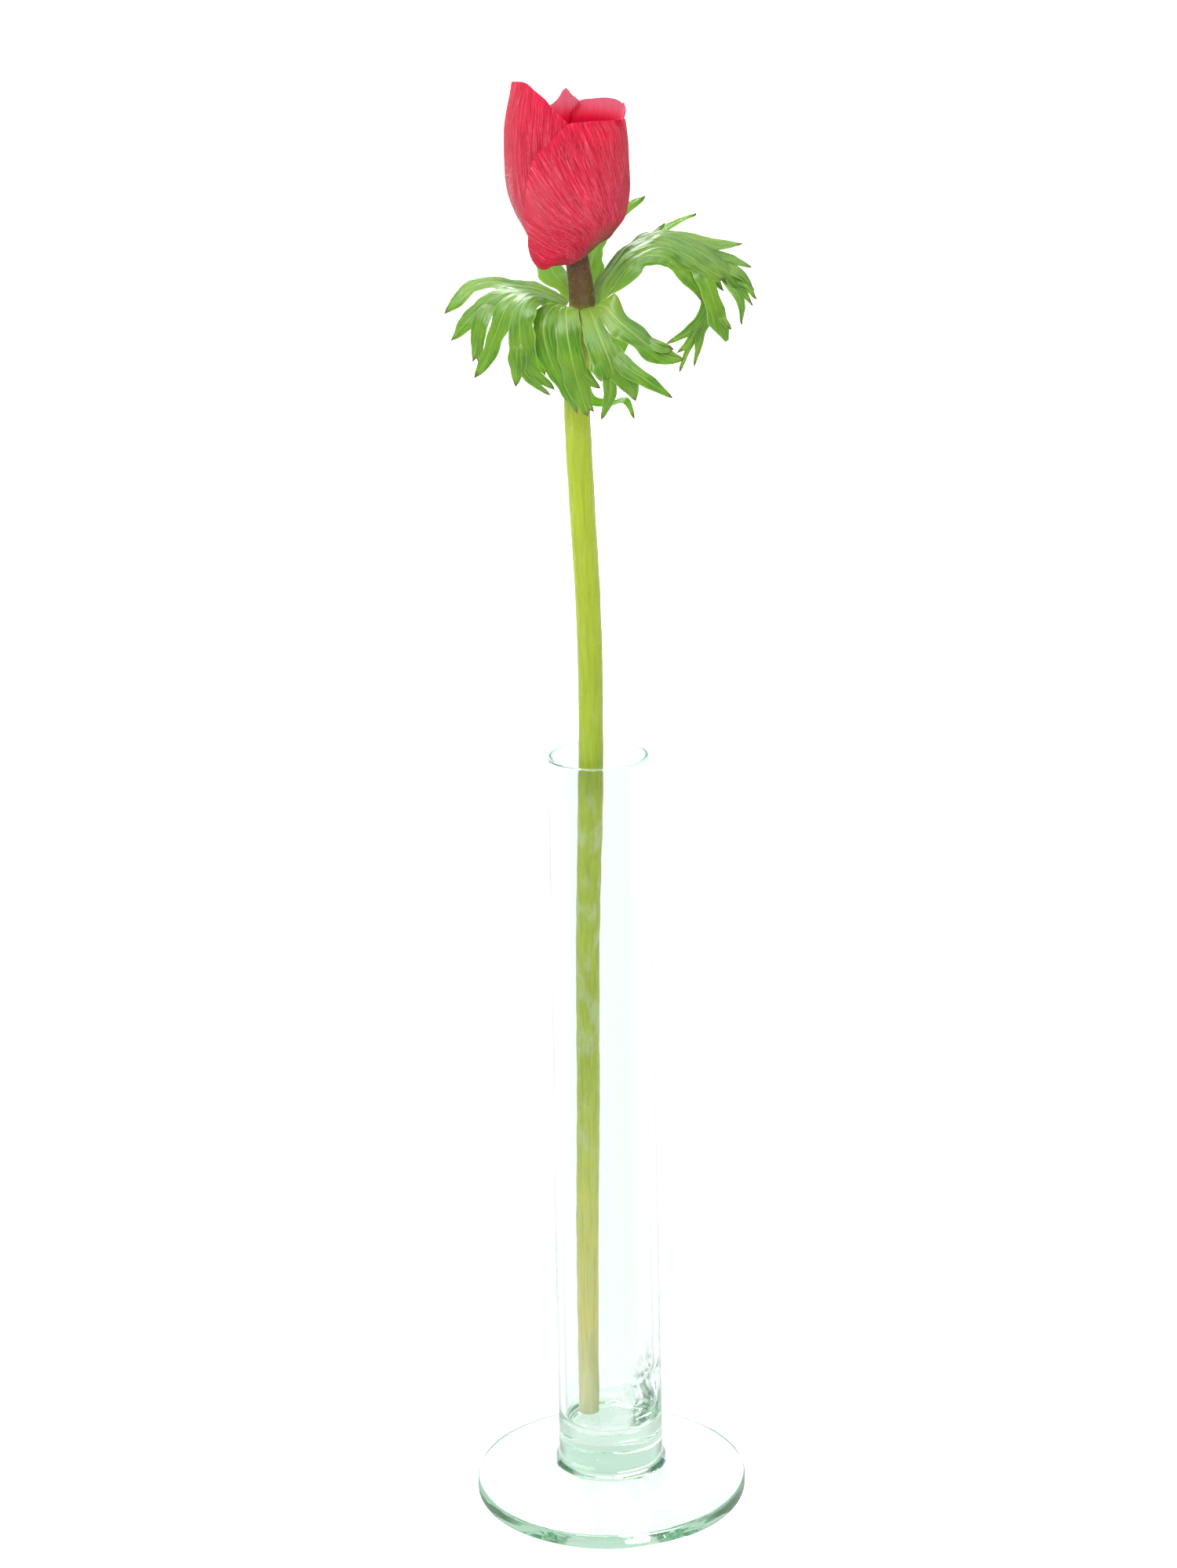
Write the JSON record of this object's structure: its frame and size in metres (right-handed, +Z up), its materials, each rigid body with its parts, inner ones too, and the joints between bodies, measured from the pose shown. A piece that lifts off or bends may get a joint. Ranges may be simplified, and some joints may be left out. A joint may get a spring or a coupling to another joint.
{
  "type": "anemone flower in a bud vase",
  "caption": "Cut crimson-pink anemone in bud, with its ruff of cut green leaves, standing in a slender clear glass bud vase with a round foot.",
  "frame": {"origin": "middle of the vase's underside, on the vase's axis, on the surface that it stands on", "axes": "+Z up along the vase's axis, -Y towards the front of the flower, +X to its right"},
  "size_m": [0.0737, 0.0696, 0.3661],
  "materials": {
    "glass": "clear, slightly green, hand-made",
    "stem": "fresh plant stem, finely haired",
    "leaf": "fresh green leaf, semi-matt",
    "petal": "fresh crimson-pink petal, silky",
    "centre": "dark velvety flower centre"
  },
  "bodies": {
    "root": {"vase": "glass", "stem": "stem", "bract_left": "leaf", "bract_right": "leaf", "bract_back": "leaf", "petal_front": "petal", "petal_back": "petal", "petal_left": "petal", "petal_back_right": "petal", "petal_point": "petal", "petal_inner_front": "petal", "petal_inner_right": "petal", "petal_inner_left": "petal", "flower_centre": "centre"}
  },
  "joints": []
}
